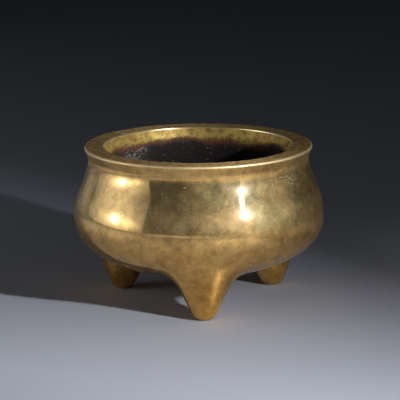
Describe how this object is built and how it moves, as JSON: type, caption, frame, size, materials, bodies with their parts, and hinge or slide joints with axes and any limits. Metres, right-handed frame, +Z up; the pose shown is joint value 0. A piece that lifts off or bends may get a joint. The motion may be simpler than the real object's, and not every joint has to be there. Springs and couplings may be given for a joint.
{
  "type": "tripod incense burner",
  "caption": "Round, heavy cast brass incense burner: a squat bowl with a drawn-in neck and flat everted rim, standing on short cone feet that flare into its belly.",
  "frame": {"origin": "on the surface that the feet stand on, under the centre of the bowl", "axes": "+Z up along the bowl's axis; -Y towards the foot that faces the viewer; +X to the viewer's right"},
  "size_m": [0.132, 0.132, 0.0828],
  "materials": {
    "bowl_brass": "polished cast brass with a fine mottled patina, duller on the rim, dark with soot inside",
    "foot_brass": "polished cast brass, worn brighter and warmer towards the tip"
  },
  "bodies": {
    "root": {"bowl": "bowl_brass", "foot_front": "foot_brass", "foot_rear_right": "foot_brass", "foot_rear_left": "foot_brass"}
  },
  "joints": []
}
